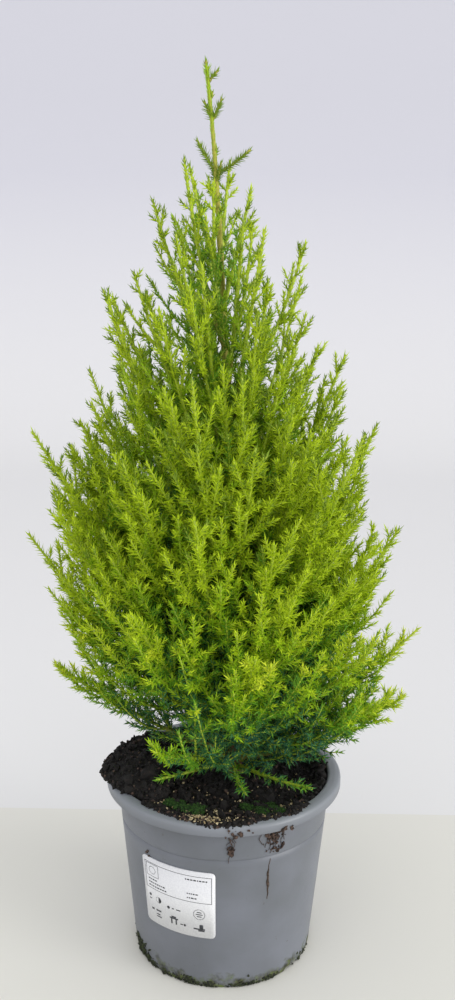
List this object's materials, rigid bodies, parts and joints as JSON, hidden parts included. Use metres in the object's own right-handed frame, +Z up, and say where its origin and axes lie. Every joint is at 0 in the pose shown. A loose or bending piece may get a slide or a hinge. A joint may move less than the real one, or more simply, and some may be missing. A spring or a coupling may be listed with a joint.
{
  "type": "potted cypress",
  "caption": "Young golden cypress, a narrow cone of soft needle plumes on a slim trunk, planted in a round grey nursery pot.",
  "frame": {"origin": "centre of the pot's flat underside", "axes": "+Z up along the pot's axis, -Y towards the side with the label, +X to the right of it"},
  "size_m": [0.1999, 0.1584, 0.413],
  "materials": {
    "pot_plastic": "satin moulded grey",
    "peat": "moist crumbly peat",
    "label_paper": "coated white sticker",
    "bark": "young fibrous bark",
    "needles": "soft golden green needles"
  },
  "bodies": {
    "root": {"pot": "pot_plastic", "soil": "peat", "label": "label_paper", "trunk": "bark", "bough_07": "bark", "bough_11": "bark", "bough_14": "bark", "bough_15": "bark", "bough_16": "bark", "bough_18": "bark", "bough_19": "bark", "bough_20": "bark", "bough_21": "bark", "bough_22": "bark", "bough_23": "bark", "bough_24": "bark", "bough_25": "bark", "bough_26": "bark", "bough_27": "bark", "bough_28": "bark", "bough_29": "bark", "bough_30": "bark", "bough_31": "bark", "foliage_01": "needles", "foliage_02": "needles", "foliage_03": "needles", "foliage_04": "needles", "foliage_05": "needles", "foliage_06": "needles", "foliage_07": "needles", "foliage_08": "needles", "foliage_09": "needles", "foliage_10": "needles", "foliage_11": "needles", "foliage_12": "needles", "foliage_13": "needles", "foliage_14": "needles", "foliage_15": "needles", "foliage_16": "needles", "foliage_17": "needles", "foliage_18": "needles", "foliage_19": "needles", "foliage_20": "needles", "foliage_21": "needles", "foliage_22": "needles", "foliage_23": "needles", "foliage_24": "needles", "foliage_25": "needles", "foliage_26": "needles", "foliage_27": "needles", "foliage_28": "needles", "foliage_29": "needles", "foliage_30": "needles", "foliage_31": "needles", "foliage_32": "needles", "foliage_33": "needles", "foliage_34": "needles", "foliage_35": "needles", "foliage_36": "needles", "foliage_leader": "needles"}
  },
  "joints": []
}
